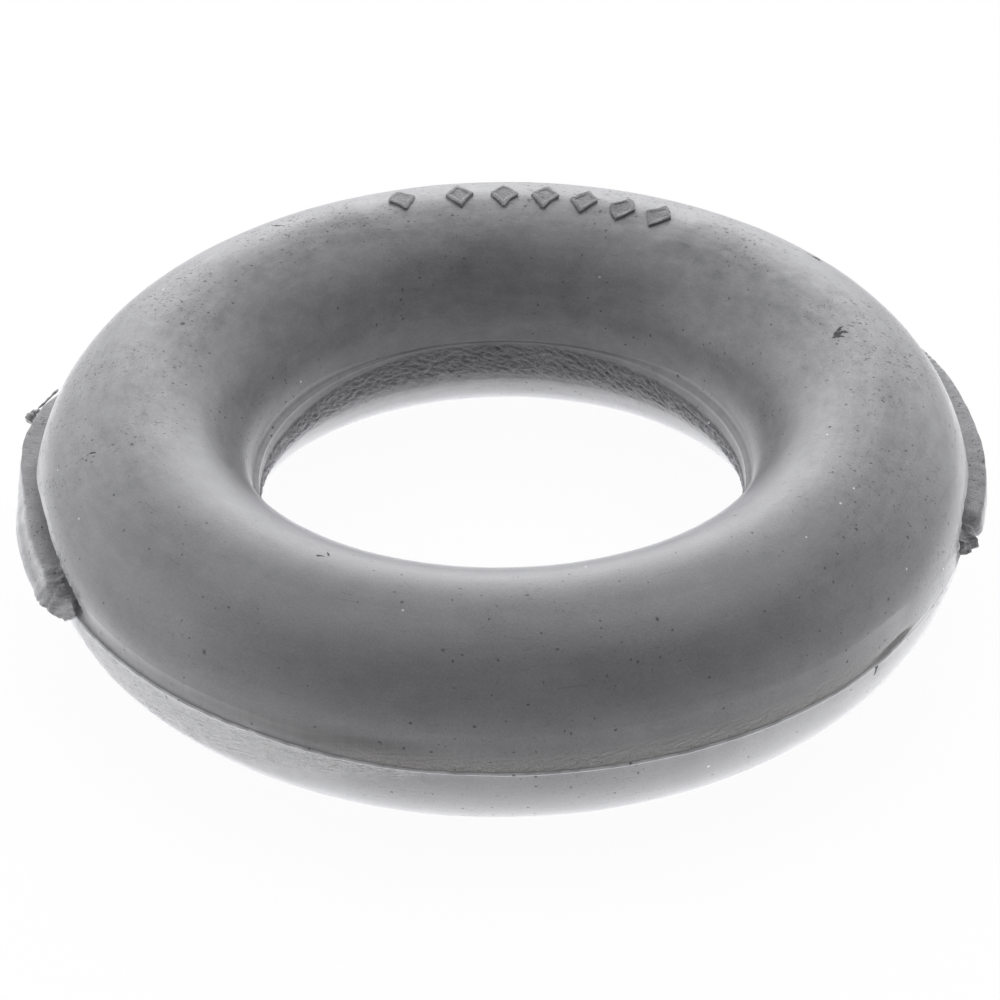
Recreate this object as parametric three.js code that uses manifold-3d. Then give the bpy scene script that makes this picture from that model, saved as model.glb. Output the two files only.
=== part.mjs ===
// Exhaust hanger: a moulded rubber ring that carries a pipe between two hooks.
// Millimetres, +Z up, origin at the ring's centre on the plane where the two
// halves of the mould met. The ring lies flat on its lower crown.

import * as THREE from 'three';
import { mergeVertices } from 'three/addons/utils/BufferGeometryUtils.js';
import Module from 'manifold-3d';

const wasm = await Module();
wasm.setup();

// Moulded ring
const outerDiameter = 62;
const holeDiameter = 33.2;
const ringHeight = 15.7;
const seatWidth = 1; // flat worn on both crowns, where the ring lies
const holeStep = 0.42; // the lower half stands this far into the hole
const lowerHoleFullness = 2.15; // 2 is an ellipse, more is squarer

// Moulding flash, left thick round the back and both sides
const flashBottom = -0.75;
const flashTop = 0.8;

// Hollows above the flash, near its two ends, where it was torn away from the wall
const hollowRise = 3.5; // their wall climbs this much for each mm outwards

// Thin lip at the front, where the flash was pulled off
const lipBottom = -0.35;
const lipRim = 0.2; // height of its edge
const lipFlare = 1.6; // above the rim it climbs this much for each mm inwards

// Band below the lip, at the left of the front, that a knife trimmed flat
const trimStart = 203;
const trimEnd = 252;
const trimHeight = 4.2;
const trimDepth = 0.28;

// Crumb of torn rubber on the flash, at the left
const crumbAzimuth = 168.7;
const crumbDiameter = 0.8;
const crumbLength = 1.4; // along the ring's radius, half of it inside the flash

// Facets round the ring, and along each quarter of its section
const roundSteps = 72;
const quarterSteps = 8;

// Azimuth in degrees, counted from +X towards +Y, and how far the edge stands out there
const flashOutline = [
  [-17.2, -0.25], [-16.2, 0.6], [-15.2, 1.1], [-14.2, 0.8], [-12.8, 1.05],
  [-7, 1.2], [-2, 1.38], [6, 1.5], [15, 1.68], [20, 1.95], [24, 1.9], [32, 1.65],
  [90, 1.65], [160, 1.6], [168, 1.65], [174, 1.65], [180, 1.4], [184, 1.3],
  [190, 1.4], [203, 1.45], [206.2, 1.3], [207.3, 0.85],
  [208.4, 1.1], [209.6, 0.45], [210.6, -0.25],
];
// And how far its top edge lies inside its bottom edge
const flashSlope = [
  [-17.2, 0.1], [24, 0.12], [40, 0.5], [150, 0.5], [168, 0.12], [175, 0.12],
  [181, 0.3], [187, 0.6], [203, 0.6], [210.6, 0.5],
];
// How deep each hollow cuts into the wall, just above the flash
const leftHollow = [
  [180, -0.2], [184, 0.35], [191, 0.85], [197, 1], [202, 0.7], [206, 0.35], [209, -0.2],
];
const rightHollow = [[-18, -0.2], [-14.5, 0.45], [-10, 0.45], [-6, -0.2]];
const lipOutline = [
  [207, 0.2], [214, 0.12], [240, 0.15], [252, 0.36], [262, 0.5], [290, 0.5],
  [308, 0.42], [320, 0.3], [334, 0.2], [346, 0.2],
];

const outerRadius = outerDiameter / 2;
const holeRadius = holeDiameter / 2;
const sectionRadius = (outerRadius + holeRadius) / 2; // where the crown runs
const halfHeight = ringHeight / 2;
const rootDepth = 1.6; // how deep the flash and lip start inside the ring
const rubber = new THREE.MeshStandardMaterial({ color: 0x7c7c7e, roughness: 0.42, metalness: 0 });

// One quarter of the section, from its widest point to the crown's flat
function quarterCurve(halfWidth, fullness) {
  const seatShare = Math.pow(seatWidth / 2 / halfWidth, fullness);
  const crownHeight = halfHeight / Math.pow(1 - seatShare, 1 / fullness);
  const endAngle = Math.acos(Math.sqrt(seatShare));
  const points = [];
  for (let i = 0; i <= quarterSteps; i += 1) {
    const angle = (endAngle * i) / quarterSteps;
    points.push([
      halfWidth * Math.pow(Math.cos(angle), 2 / fullness),
      crownHeight * Math.pow(Math.sin(angle), 2 / fullness),
    ]);
  }
  return points;
}

// The whole section: four quarters, two crown flats and the step in the hole
function ringProfile() {
  const outer = quarterCurve(outerRadius - sectionRadius, 2);
  const upperInner = quarterCurve(sectionRadius - holeRadius, 2);
  const lowerInner = quarterCurve(sectionRadius - holeRadius + holeStep, lowerHoleFullness);
  const place = (x, z) => new THREE.Vector2(sectionRadius + x, z);
  const upperHalf = [
    ...outer.map(([x, z]) => place(x, z)),
    ...upperInner.map(([x, z]) => place(-x, z)).reverse(),
  ];
  const lowerHalf = [
    ...lowerInner.map(([x, z]) => place(-x, -z)),
    ...outer.map(([x, z]) => place(x, -z)).reverse(),
  ];
  return [...upperHalf, ...lowerHalf];
}

// Value at an azimuth on an outline given by a few rows
function outlineAt(outline, azimuth) {
  const next = outline.findIndex(([angle]) => angle >= azimuth);
  if (next <= 0) return outline[0][1];
  const [startAngle, startWidth] = outline[next - 1];
  const [endAngle, endWidth] = outline[next];
  const share = (azimuth - startAngle) / (endAngle - startAngle);
  return startWidth + (endWidth - startWidth) * share;
}

// The outline's own azimuths, and between them one for each of the ring's facets
function outlineStations(outline) {
  const step = 360 / roundSteps;
  const first = outline[0][0];
  const last = outline[outline.length - 1][0];
  const stations = outline.map(([angle]) => angle);
  for (let angle = Math.ceil(first / step) * step; angle < last; angle += step) {
    if (stations.every((other) => Math.abs(other - angle) > 0.4)) stations.push(angle);
  }
  return stations.sort((a, b) => a - b);
}

// Solid swept round the ring's axis. The section turns counter-clockwise in (radius, height)
// and comes from the outline's value there and the azimuth.
function sweepRound(outline, sectionAt) {
  const stations = outlineStations(outline);
  const positions = [];
  const indices = [];
  let count = 0;
  for (const azimuth of stations) {
    const angle = THREE.MathUtils.degToRad(azimuth);
    const section = sectionAt(outlineAt(outline, azimuth), azimuth);
    count = section.length;
    for (const [radius, height] of section) {
      positions.push(radius * Math.cos(angle), radius * Math.sin(angle), height);
    }
  }
  for (let i = 0; i + 1 < stations.length; i += 1) {
    for (let j = 0; j < count; j += 1) {
      const here = i * count + j;
      const beside = i * count + ((j + 1) % count);
      indices.push(here, here + count, beside, beside, here + count, beside + count);
    }
  }
  const last = (stations.length - 1) * count;
  for (let j = 1; j + 1 < count; j += 1) {
    indices.push(0, j, j + 1, last, last + j + 1, last + j);
  }
  const geometry = new THREE.BufferGeometry();
  geometry.setAttribute('position', new THREE.Float32BufferAttribute(positions, 3));
  geometry.setIndex(indices);
  return geometry;
}

function flashGeometry() {
  const root = outerRadius - rootDepth;
  return sweepRound(flashOutline, (width, azimuth) => [
    [root, flashBottom],
    [outerRadius + width, flashBottom],
    [outerRadius + width - outlineAt(flashSlope, azimuth), flashTop],
    [root, flashTop],
  ]);
}

// What each hollow takes from the wall: its foot lies inside the flash, which fills it again
function hollowGeometry(outline) {
  const beyond = outerRadius + 0.3;
  return sweepRound(outline, (depth) => [
    [outerRadius - depth, 0],
    [beyond, 0],
    [beyond, flashTop + (beyond - outerRadius + depth) * hollowRise],
    [outerRadius - depth, flashTop],
  ]);
}

function lipGeometry() {
  const root = outerRadius - rootDepth;
  return sweepRound(lipOutline, (width) => [
    [root, lipBottom],
    [outerRadius + width, lipBottom],
    [outerRadius + width, lipBottom + lipRim],
    [root, lipBottom + lipRim + (rootDepth + width) * lipFlare],
  ]);
}

function crumbGeometry() {
  const bottomEdge = outerRadius + outlineAt(flashOutline, crumbAzimuth);
  const middle = bottomEdge - outlineAt(flashSlope, crumbAzimuth) / 2;
  const geometry = new THREE.IcosahedronGeometry(0.5, 1);
  geometry.scale(crumbLength, crumbDiameter, crumbDiameter);
  geometry.translate(middle, 0, (flashTop + flashBottom) / 2);
  geometry.rotateZ(THREE.MathUtils.degToRad(crumbAzimuth));
  return geometry;
}

// Flattens the trimmed band: its skin goes in to a straight slope, most in the middle
function trimBand(geometry) {
  const position = geometry.getAttribute('position');
  for (let i = 0; i < position.count; i += 1) {
    const x = position.getX(i);
    const y = position.getY(i);
    const depth = -position.getZ(i);
    const radius = Math.hypot(x, y);
    const azimuth = (THREE.MathUtils.radToDeg(Math.atan2(y, x)) + 360) % 360;
    const inBand = azimuth > trimStart && azimuth < trimEnd && depth > 0 && depth < trimHeight;
    if (inBand && radius > sectionRadius) {
      const along = Math.sin((Math.PI * (azimuth - trimStart)) / (trimEnd - trimStart));
      const across = Math.sin((Math.PI * depth) / trimHeight);
      const share = (radius - trimDepth * along * across) / radius;
      position.setXY(i, x * share, y * share);
    }
  }
}

function toSolid(geometry) {
  const bare = geometry.clone();
  bare.deleteAttribute('normal');
  bare.deleteAttribute('uv');
  const merged = mergeVertices(bare, 1e-4);
  return new wasm.Manifold(new wasm.Mesh({
    numProp: 3,
    vertProperties: new Float32Array(merged.getAttribute('position').array),
    triVerts: new Uint32Array(merged.getIndex().array),
  }));
}

function toGeometry(solid) {
  const mesh = solid.getMesh();
  const geometry = new THREE.BufferGeometry();
  geometry.setAttribute('position', new THREE.BufferAttribute(mesh.vertProperties, 3));
  geometry.setIndex(new THREE.BufferAttribute(mesh.triVerts, 1));
  geometry.computeVertexNormals();
  return geometry;
}

function hangerRing() {
  const body = new THREE.LatheGeometry(ringProfile(), roundSteps, Math.PI / roundSteps);
  body.rotateX(Math.PI / 2);
  trimBand(body);
  const solid = toSolid(body)
    .subtract(toSolid(hollowGeometry(leftHollow)))
    .subtract(toSolid(hollowGeometry(rightHollow)))
    .add(toSolid(lipGeometry()))
    .add(toSolid(flashGeometry()))
    .add(toSolid(crumbGeometry()));
  const mesh = new THREE.Mesh(toGeometry(solid), rubber);
  mesh.name = 'hanger_ring';
  return mesh;
}

const hanger = new THREE.Group();
hanger.add(hangerRing());

export default hanger;
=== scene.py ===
import math
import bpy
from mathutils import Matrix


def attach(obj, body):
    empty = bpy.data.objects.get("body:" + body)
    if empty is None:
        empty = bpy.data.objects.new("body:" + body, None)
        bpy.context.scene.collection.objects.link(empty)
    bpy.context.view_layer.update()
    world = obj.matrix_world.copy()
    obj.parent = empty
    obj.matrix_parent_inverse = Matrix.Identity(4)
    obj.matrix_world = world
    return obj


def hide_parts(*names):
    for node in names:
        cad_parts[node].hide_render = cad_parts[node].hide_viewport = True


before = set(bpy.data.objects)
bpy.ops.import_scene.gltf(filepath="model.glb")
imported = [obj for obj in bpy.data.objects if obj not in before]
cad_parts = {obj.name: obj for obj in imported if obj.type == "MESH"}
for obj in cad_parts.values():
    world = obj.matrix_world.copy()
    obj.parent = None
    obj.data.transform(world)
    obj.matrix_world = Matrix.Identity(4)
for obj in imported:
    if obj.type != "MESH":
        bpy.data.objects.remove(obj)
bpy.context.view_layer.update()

from types import SimpleNamespace

import bpy
import numpy as np
from mathutils import Vector, noise

mm = 0.001


def ease(low, high, value):  # 0 below low, 1 above high, smooth between
    share = np.clip((np.asarray(value, float) - low) / (high - low), 0, 1)
    return share * share * (3 - 2 * share)


def roundTable(rows, azimuth):  # rows of azimuth and value, read all the way round
    return np.interp(azimuth, [row[0] for row in rows], [row[1] for row in rows], period=360)


def wander(azimuth, size, seed, radius=31.0):  # smooth chance along the ring, about -1 to 1
    angles = np.radians(azimuth)
    k = radius / size
    return np.array([noise.noise(Vector((math.cos(a) * k, math.sin(a) * k, seed))) for a in angles])


def chance(points, size, seed):  # the same for points in mm
    return np.array([noise.noise(Vector(p) / size + Vector((seed, 2.3 * seed, 0))) for p in points])


def deselectAll():
    if bpy.context.object and bpy.context.object.mode == "EDIT":
        bpy.ops.object.mode_set(mode="OBJECT")
    bpy.ops.object.select_all(action="DESELECT")


def makeActive(piece):
    deselectAll()
    piece.select_set(True)
    bpy.context.view_layer.objects.active = piece


def setAttribute(piece, name, values):
    layer = piece.data.attributes.new(name, "FLOAT", "POINT")
    layer.data.foreach_set("value", np.asarray(values, np.float32))


camera = {
    "elevation": 34.2864,  # degrees above the floor, looking along +Y
    "distance": 0.22474,
    "lens": 121.067,
    "sensor": 36,
    "shiftX": -0.0020,
    "shiftY": -0.0274,
    "roll": -0.5595,
}


def addCamera(values):
    tilt = math.radians(values["elevation"])
    place = Vector((0, -math.cos(tilt), math.sin(tilt))) * values["distance"]
    bpy.ops.object.camera_add(location=place, rotation=(math.pi / 2 - tilt, 0, 0))
    shot = bpy.context.object
    shot.rotation_euler.rotate_axis("Z", math.radians(values["roll"]))
    shot.data.sensor_width = values["sensor"]
    shot.data.lens = values["lens"]
    shot.data.shift_x = values["shiftX"]
    shot.data.shift_y = values["shiftY"]
    shot.data.clip_start = 0.01
    shot.data.clip_end = 10
    bpy.context.scene.camera = shot


addCamera(camera)
print("camera set")

# All in mm and degrees. Azimuth counts from +X towards +Y, so 270 faces the camera.
ring = {
    "centreRadius": 23.8,
    "halfWidth": 7.2,
    "halfHeight": 7.85,
    "wallRadius": 31.0,
    "seatWidth": 1.0,  # flat worn on both crowns
    "rounds": 780,
    "wedges": 20,
    # points of the section: lower outside, edge, root, upper outside, upper inside, ledge,
    # smooth cut, rough cut, lower inside
    "counts": [17, 9, 14, 15, 12, 8, 4, 31, 10],
    "flashBottom": -0.75,
    "flashTop": 0.8,
    "lipBottom": -0.35,
    "lipTop": -0.13,
    "flashWidth": [
        [-18.0, -0.25], [-17.4, 0.2], [-16.7, 0.75], [-16.0, 0.5], [-15.3, 0.9], [-14.5, 0.98],
        [-13.7, 0.6], [-13.0, 0.62], [-12.4, 0.9], [-11.6, 1.03],
        [-7, 1.18], [-2, 1.35], [6, 1.47], [15, 1.66], [20, 1.93], [24, 1.88], [32, 1.62],
        [90, 1.61], [150, 1.4], [157, 1.05], [162, 0.78], [164, 1.15], [166.7, 1.48], [170, 1.6],
        [174, 1.6], [180, 1.38], [184, 1.28], [190, 1.38], [199, 1.36], [201, 1.34], [203.2, 1.5],
        [204.2, 1.48], [205, 1.36], [206, 1.34], [206.8, 1.05], [207.6, 0.95], [208.5, 0.66],
        [209.3, 0.35], [210.2, -0.25],
    ],
    # how far the flash's top edge lies inside its bottom edge
    "flashSlope": [
        [-19.6, 0.1], [24, 0.12], [40, 0.5], [150, 0.5], [168, 0.12], [175, 0.12],
        [181, 0.3], [187, 0.6], [203, 0.6], [210.6, 0.5],
    ],
    "lipWidth": [
        [207, 0.16], [214, 0.12], [240, 0.15], [252, 0.34], [262, 0.46], [290, 0.46],
        [308, 0.4], [320, 0.22], [326, 0.0], [346, 0.0],
    ],
    # how far the root of the edge is cut into the wall above it
    "rootInset": [
        [0, 0.05], [165, 0.05], [176, 0.1], [184, 0.5], [191, 0.95], [197, 1.15], [201, 1.0],
        [206, 0.72], [212, 0.45], [222, 0.28], [235, 0.16], [246, 0.08], [255, 0.0], [306, 0.0],
        [311, 0.0], [332, 0.0], [338, 0.02],
        [343, 0.4], [348, 0.6], [353, 0.45], [358, 0.1],
    ],
    # height at which that cut ends
    "rootTop": [
        [0, 1.25], [170, 1.3], [184, 2.0], [191, 2.6], [197, 2.7], [203, 2.0], [209, 1.35],
        [222, 1.2], [235, 1.1], [248, 1.0], [262, 2.1], [322, 2.1],
        [330, 1.6], [340, 1.1], [347, 2.0], [352, 1.9], [357, 1.35],
    ],
    "rootSharpness": [
        [0, 3.5], [180, 3.2], [188, 2.2], [200, 1.8], [206, 1.2], [214, 0.6], [240, 0.4],
        [254, 0.05], [330, 0.05], [336, 1.2],
        [346, 1.8], [358, 3.2],
    ],
    "ledgeOuter": [
        [0, 16.74], [40, 16.68], [65, 16.61], [90, 16.59], [115, 16.61], [140, 16.68], [180, 16.74],
        [270, 16.7],
    ],
    "ledgeInner": [
        [0, 16.22], [40, 16.32], [65, 16.5], [90, 16.57], [115, 16.5], [140, 16.32], [180, 16.22],
        [270, 16.26],
    ],
    # height in the hole where the hollow down to the ledge starts
    "ledgeTop": [[0, 0.85], [40, 0.7], [62, 0.2], [118, 0.2], [140, 0.7], [180, 0.85], [270, 0.85]],
    "trimStart": 203,
    "trimEnd": 252,
    "trimHeight": 4.2,
    "trimDepth": 0.28,
    # height at which the rough part of the cut in the hole starts, and how far it stands out
    "roughStart": [
        [0, -1.15], [30, -1.1], [60, -0.6], [80, -0.24], [105, -0.22], [125, -0.55], [150, -1.05],
        [180, -1.15], [270, -1.15],
    ],
    "roughStep": [
        [0, 0.09], [40, 0.08], [80, 0.02], [105, 0.02], [140, 0.06], [180, 0.08], [270, 0.07],
    ],
    "roughEnd": (16.73, -3.3),  # radius and height of its foot
    "holeRadius": 16.4,
    "cutRadius": 16.3,
    # lower half of the section inside: half its width, and 2 would be an ellipse, more is squarer
    "lowerWidth": 7.62,
    "lowerHeight": 7.87,
    "lowerStart": 3.9,  # depth at which it takes over from the cut
    "lowerFullness": 2.15,
    "marksRecess": 0.2,
    # what the finished ring stays inside, mm
    "reach": {"low": (-32.63, -31.495, -7.848), "high": (32.4, 32.64, 7.848), "edge": 32.6},
}
centreRadius, halfWidth, halfHeight = ring["centreRadius"], ring["halfWidth"], ring["halfHeight"]
wallRadius = ring["wallRadius"]
mmPerDegree = 0.54  # along the outer wall
seatShare = ring["seatWidth"] / 2 / halfWidth
fullHeight = halfHeight / math.sqrt(1 - seatShare ** 2)  # of the ellipse that the flat cuts off
roundedHeight = round(fullHeight, 3)  # a little more, so that arcsin takes every height


def bodyPoint(angle):  # on the moulded skin, section angle from outward, up
    height = np.clip(fullHeight * np.sin(angle), -halfHeight, halfHeight)
    return centreRadius + halfWidth * np.cos(angle), height


def angleAt(height):
    return np.arcsin(np.asarray(height, float) / roundedHeight)


def hollow(weight, share, start, pull, end):  # curve from start to end, drawn towards pull
    a, b, c = (1 - share) ** 2, 2 * weight * share * (1 - share), share ** 2
    return (a * start + b * pull + c * end) / (a + b + c)


def spread(start, end, count, power=1.0):  # shares from start to end for each azimuth
    share = (np.arange(1, count + 1) / count) ** power
    return start[:, None] + (end - start)[:, None] * share[None, :]


def edgeOutline(azimuth):  # how far the edge stands out, and whether it is flash, lip or bare wall
    flash = roundTable(ring["flashWidth"] + [[211, -0.25], [339, -0.25]], azimuth)
    lip = roundTable([[0, 0.02], [200, 0.02]] + ring["lipWidth"], azimuth)
    nib = ease(339.5, 341, azimuth) * (1 - ease(346.5, 348.5, azimuth))  # torn end at the right
    ragged = np.maximum(ease(201, 204, azimuth) * (1 - ease(210, 211, azimuth)), nib)
    flash = flash + ragged * 0.2 * wander(azimuth, 0.42, 3.1)
    flash = flash - 0.03 * np.abs(wander(azimuth, 0.8, 5.2)) - 0.02 * np.abs(wander(azimuth, 3, 7.2))
    lip = lip * (1 + 0.05 * wander(azimuth, 3.5, 1.7)) - 0.035 * np.abs(wander(azimuth, 0.6, 9.4))
    thick = ease(0.05, 0.45, flash - lip)  # 1 on the flash, 0 on the lip
    edge = wallRadius + np.maximum(flash, lip)
    flush = 1 - ease(0.0, 0.12, edge - wallRadius)  # 1 where the edge ends in the wall
    return np.minimum(edge, wallRadius + 0.49 + 2 * thick), thick, flush, nib


def edgeSection(azimuth, edge, thick, nib):  # underside first, then the rim, then the top's start
    bottom = ring["lipBottom"] + (ring["flashBottom"] - ring["lipBottom"]) * thick
    bottom = bottom + 0.03 * wander(azimuth, 2.2, 4.4) + 0.2 * nib * thick
    top = ring["lipTop"] + (ring["flashTop"] - ring["lipTop"]) * thick
    top = top + 0.035 * wander(azimuth, 4, 6.6) * thick + 0.02 * wander(azimuth, 0.7, 2.6)
    top = top - (0.4 * nib + 0.3 * ease(203.5, 208, azimuth) * (azimuth < 215)) * thick
    slope = 0.04 + (roundTable(ring["flashSlope"], azimuth) - 0.04) * thick
    slope = np.maximum(slope + 0.06 * thick * wander(azimuth, 1.2, 8.1), 0.03)
    corner = np.minimum(0.13, 0.38 * (top - bottom))
    topCorner = corner + 0.16 * thick * ease(178, 192, azimuth)
    topCorner = np.minimum(topCorner, 0.45 * (top - bottom))
    wall = bodyPoint(angleAt(bottom))[0]
    diagonal = 1 - math.sqrt(0.5)
    topEdge = edge - slope
    points = [
        (wall + 0.03, bottom - 0.03),
        (wall + 0.5 * (edge - corner - wall), bottom),
        (edge - corner, bottom),
        (edge - diagonal * corner, bottom + diagonal * corner),
        (edge, bottom + corner),
        (edge - 0.5 * slope, (bottom + top + corner - topCorner) / 2),
        (topEdge, top - topCorner),
        (topEdge - diagonal * topCorner, top - diagonal * topCorner),
        (topEdge - topCorner, top),
    ]
    return np.stack([r for r, z in points], 1), np.stack([z for r, z in points], 1)


def rootSection(azimuth, start, top, rootTop):  # shelf and root: one hollow curve up to the wall
    inset = roundTable(ring["rootInset"], azimuth) * (1 + 0.15 * wander(azimuth, 1.8, 14.5))
    pull = bodyPoint(angleAt(top))[0] - inset
    end, endHeight = bodyPoint(angleAt(rootTop))
    straight = ease(250, 262, azimuth) * (1 - ease(330, 336, azimuth))
    count = ring["counts"][2]
    share = (np.arange(1, count + 1) / count)[None, :] ** (1 + 0.8 * straight[:, None])
    weight = roundTable(ring["rootSharpness"], azimuth)[:, None]
    radius = hollow(weight, share, start[:, None], pull[:, None], end[:, None])
    height = hollow(weight, share, top[:, None], top[:, None] + 0.02, endHeight[:, None])
    return radius, height


def holeSections(azimuth, crown):  # upper inside, ledge, smooth cut and rough cut
    counts = ring["counts"]
    hole = ring["holeRadius"]
    outer = roundTable(ring["ledgeOuter"], azimuth)[:, None]
    inner = roundTable(ring["ledgeInner"], azimuth) + 0.03 * wander(azimuth, 2.5, 21.5, hole)
    inner = inner[:, None]
    ledgeTop = roundTable(ring["ledgeTop"], azimuth)[:, None]
    flatEnd = np.pi - crown
    angle = spread(flatEnd, np.pi - angleAt(ledgeTop[:, 0]), counts[4] - 1)
    rows = [bodyPoint(np.concatenate([flatEnd[:, None], angle], axis=1))]

    # a hollow curve down from the wall to the ledge, and the ledge's small round edge
    wall = bodyPoint(np.pi - angleAt(ledgeTop))[0] + 0.02
    share = np.arange(1, 7) / 6
    curve = hollow(1.2, share, wall, outer, inner + 0.05)
    drop = hollow(1.2, share, ledgeTop, 0.07, 0.0)
    rim = np.broadcast_to([-0.05, -0.13], (len(azimuth), 2))
    rows.append((np.concatenate([curve, inner + 0.012, inner], axis=1),
                 np.concatenate([drop, rim], axis=1)))

    # cut wall: smooth at first, then rough from a second low step on
    smoothEnd = roundTable(ring["roughStart"], azimuth) + 0.12 * wander(azimuth, 7, 31.5, hole)
    smoothEnd = np.minimum(smoothEnd, -0.18)
    height = spread(np.full_like(azimuth, -0.13), smoothEnd, counts[6])
    rows.append((np.broadcast_to(inner, height.shape), height))
    footRadius, foot = ring["roughEnd"]
    height = spread(smoothEnd - 0.03, np.full_like(azimuth, foot), counts[7])
    depth = (height - height[:, :1]) / (foot - height[:, :1])
    step = roundTable(ring["roughStep"], azimuth)[:, None]
    cut = inner - step * (1 - depth) + (footRadius - inner) * depth ** 2.2
    rows.append((cut, height))
    return rows


def lowerInside(total):  # from the foot of the cut back down to the crown's flat
    width, height = ring["lowerWidth"], ring["lowerHeight"]
    fullness = ring["lowerFullness"]
    start = math.asin((ring["lowerStart"] / height) ** (fullness / 2))
    end = math.acos((ring["seatWidth"] / 2 / width) ** (fullness / 2))
    angle = np.linspace(start, end, ring["counts"][8])
    radius = centreRadius - width * np.cos(angle) ** (2 / fullness)
    fall = np.clip(-height * np.sin(angle) ** (2 / fullness), -halfHeight, 0)
    return np.tile(radius, (total, 1)), np.tile(fall, (total, 1))


def ringSections():  # radius and height of every section point at every azimuth
    counts = ring["counts"]
    azimuth = np.arange(ring["rounds"]) * 360 / ring["rounds"]
    edge, thick, flush, nib = edgeOutline(azimuth)
    edgeRadius, edgeHeight = edgeSection(azimuth, edge, thick, nib)
    bottom = edgeHeight[:, 1]

    # lower outside, up from the crown's flat
    low = np.full_like(azimuth, -angleAt(halfHeight * np.cos(np.arcsin(seatShare))))
    angle = spread(low, angleAt(bottom - 0.22), counts[0] - 1, 0.75)
    rows = [bodyPoint(np.concatenate([low[:, None], angle], axis=1)), (edgeRadius, edgeHeight)]

    rootTop = roundTable(ring["rootTop"], azimuth) + 0.08 * wander(azimuth, 2.4, 12.5)
    rows.append(rootSection(azimuth, edgeRadius[:, -1], edgeHeight[:, -1], rootTop))
    crown = np.full_like(azimuth, np.arccos(seatShare))
    rows.append(bodyPoint(spread(angleAt(rootTop), crown, counts[3])))  # upper outside
    rows += holeSections(azimuth, crown)
    rows.append(lowerInside(len(azimuth)))

    radius = np.concatenate([r for r, z in rows], axis=1)
    height = np.concatenate([z for r, z in rows], axis=1)
    zone = np.concatenate([np.full(count, i) for i, count in enumerate(counts)])
    onEdge = np.isin(zone, [1, 2])
    skin = bodyPoint(angleAt(height[:, onEdge]))[0]
    radius[:, onEdge] += (skin - radius[:, onEdge]) * flush[:, None] * (1 - thick[:, None])
    return azimuth, radius, height, zone, thick, flush


def spinRing(radius, height):  # the front's section, drawn as a closed loop and spun round the axis
    count = radius.shape[1]
    front = round(270 / 360 * ring["rounds"])
    bpy.ops.mesh.primitive_circle_add(vertices=count, radius=halfWidth * mm,
                                      location=(centreRadius * mm, 0, 0))
    piece = bpy.context.object
    piece.name = "hangerRing"
    bpy.ops.object.transform_apply(location=True)
    for i, vertex in enumerate(piece.data.vertices):
        vertex.co = (radius[front, i] * mm, 0, height[front, i] * mm)
    setAttribute(piece, "place", np.arange(count))
    bpy.ops.object.mode_set(mode="EDIT")
    bpy.ops.mesh.select_all(action="SELECT")
    wedges = ring["wedges"]  # one wedge is spun, then its copies go round
    wedge = 2 * math.pi / wedges
    bpy.ops.mesh.spin(steps=ring["rounds"] // wedges, angle=wedge, axis=(0, 0, 1))
    bpy.ops.mesh.select_all(action="SELECT")
    bpy.ops.mesh.spin(steps=wedges - 1, dupli=True, angle=2 * math.pi - wedge, axis=(0, 0, 1))
    bpy.ops.mesh.select_all(action="SELECT")
    bpy.ops.mesh.remove_doubles(threshold=0.000002)
    bpy.ops.mesh.normals_make_consistent(inside=False)
    bpy.ops.object.mode_set(mode="OBJECT")
    print("ring spun:", len(piece.data.vertices), "points,", len(piece.data.polygons), "faces")
    return piece


def readPoints(piece):  # each point's place in its section, and the number of that section
    mesh = piece.data
    total = len(mesh.vertices)
    place = np.zeros(total, np.float32)
    mesh.attributes["place"].data.foreach_get("value", place)
    mesh.attributes.remove(mesh.attributes["place"])
    co = np.zeros(total * 3, np.float32)
    mesh.vertices.foreach_get("co", co)
    co = co.reshape(-1, 3).astype(float)
    turn = np.degrees(np.arctan2(co[:, 1], co[:, 0])) % 360
    step = np.round(turn / 360 * ring["rounds"]).astype(int) % ring["rounds"]
    return np.round(place).astype(int), step


def liftSkin(at):  # slow waves of the skin, and the shallow panel where the mould marks stand
    share = np.where(np.isin(at.part, [0, 3, 4, 8]), 1.0, at.flush * np.isin(at.part, [1, 2]))
    body = share > 0
    lift = np.zeros(len(share))
    lift[body] -= 0.02 + 0.02 * chance(at.points[body], 5.0, 3.0)
    lift[body] -= 0.008 * chance(at.points[body], 1.6, 8.0)
    panel = ease(54, 60, at.az) * (1 - ease(110, 116, at.az))
    panel = panel * ease(62, 76, at.degrees) * (1 - ease(104, 116, at.degrees))
    return lift * share - ring["marksRecess"] * panel


def trimBand(at):  # flattens the trimmed band below the lip, and gives the pale band's mask
    depth = -at.z
    along = np.clip((at.az - ring["trimStart"]) / (ring["trimEnd"] - ring["trimStart"]), 0, 1)
    across = np.clip(depth / ring["trimHeight"], 0, 1)
    trim = np.sin(np.pi * along) * np.sin(np.pi * across) * (at.part == 0)
    flat = ease(0.05, 0.35, trim)
    slant = np.stack([(at.around + depth * 1.2) * 0.4, depth * 0.6 - at.around * 0.5, 0 * depth], 1)
    rough = np.zeros(len(depth))
    chosen = flat > 0
    rough[chosen] = chance(slant[chosen], 0.5, 41.0) + 0.6 * chance(slant[chosen], 0.22, 43.0)
    at.r = at.r - ring["trimDepth"] * trim + 0.07 * flat * rough
    bandDepth = np.interp(at.az, [204, 212, 236, 248, 264], [1.5, 4.2, 4.0, 2.4, 0.4])
    ragged = 0.35 * wander(at.az, 1.4, 79.0) + 0.2 * wander(at.az, 0.5, 83.0)
    band = ease(204, 210, at.az) * (1 - ease(258, 266, at.az)) * (at.part == 0)
    return band * (1 - ease(-0.6, 0.5, depth - bandDepth - ragged))


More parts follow.
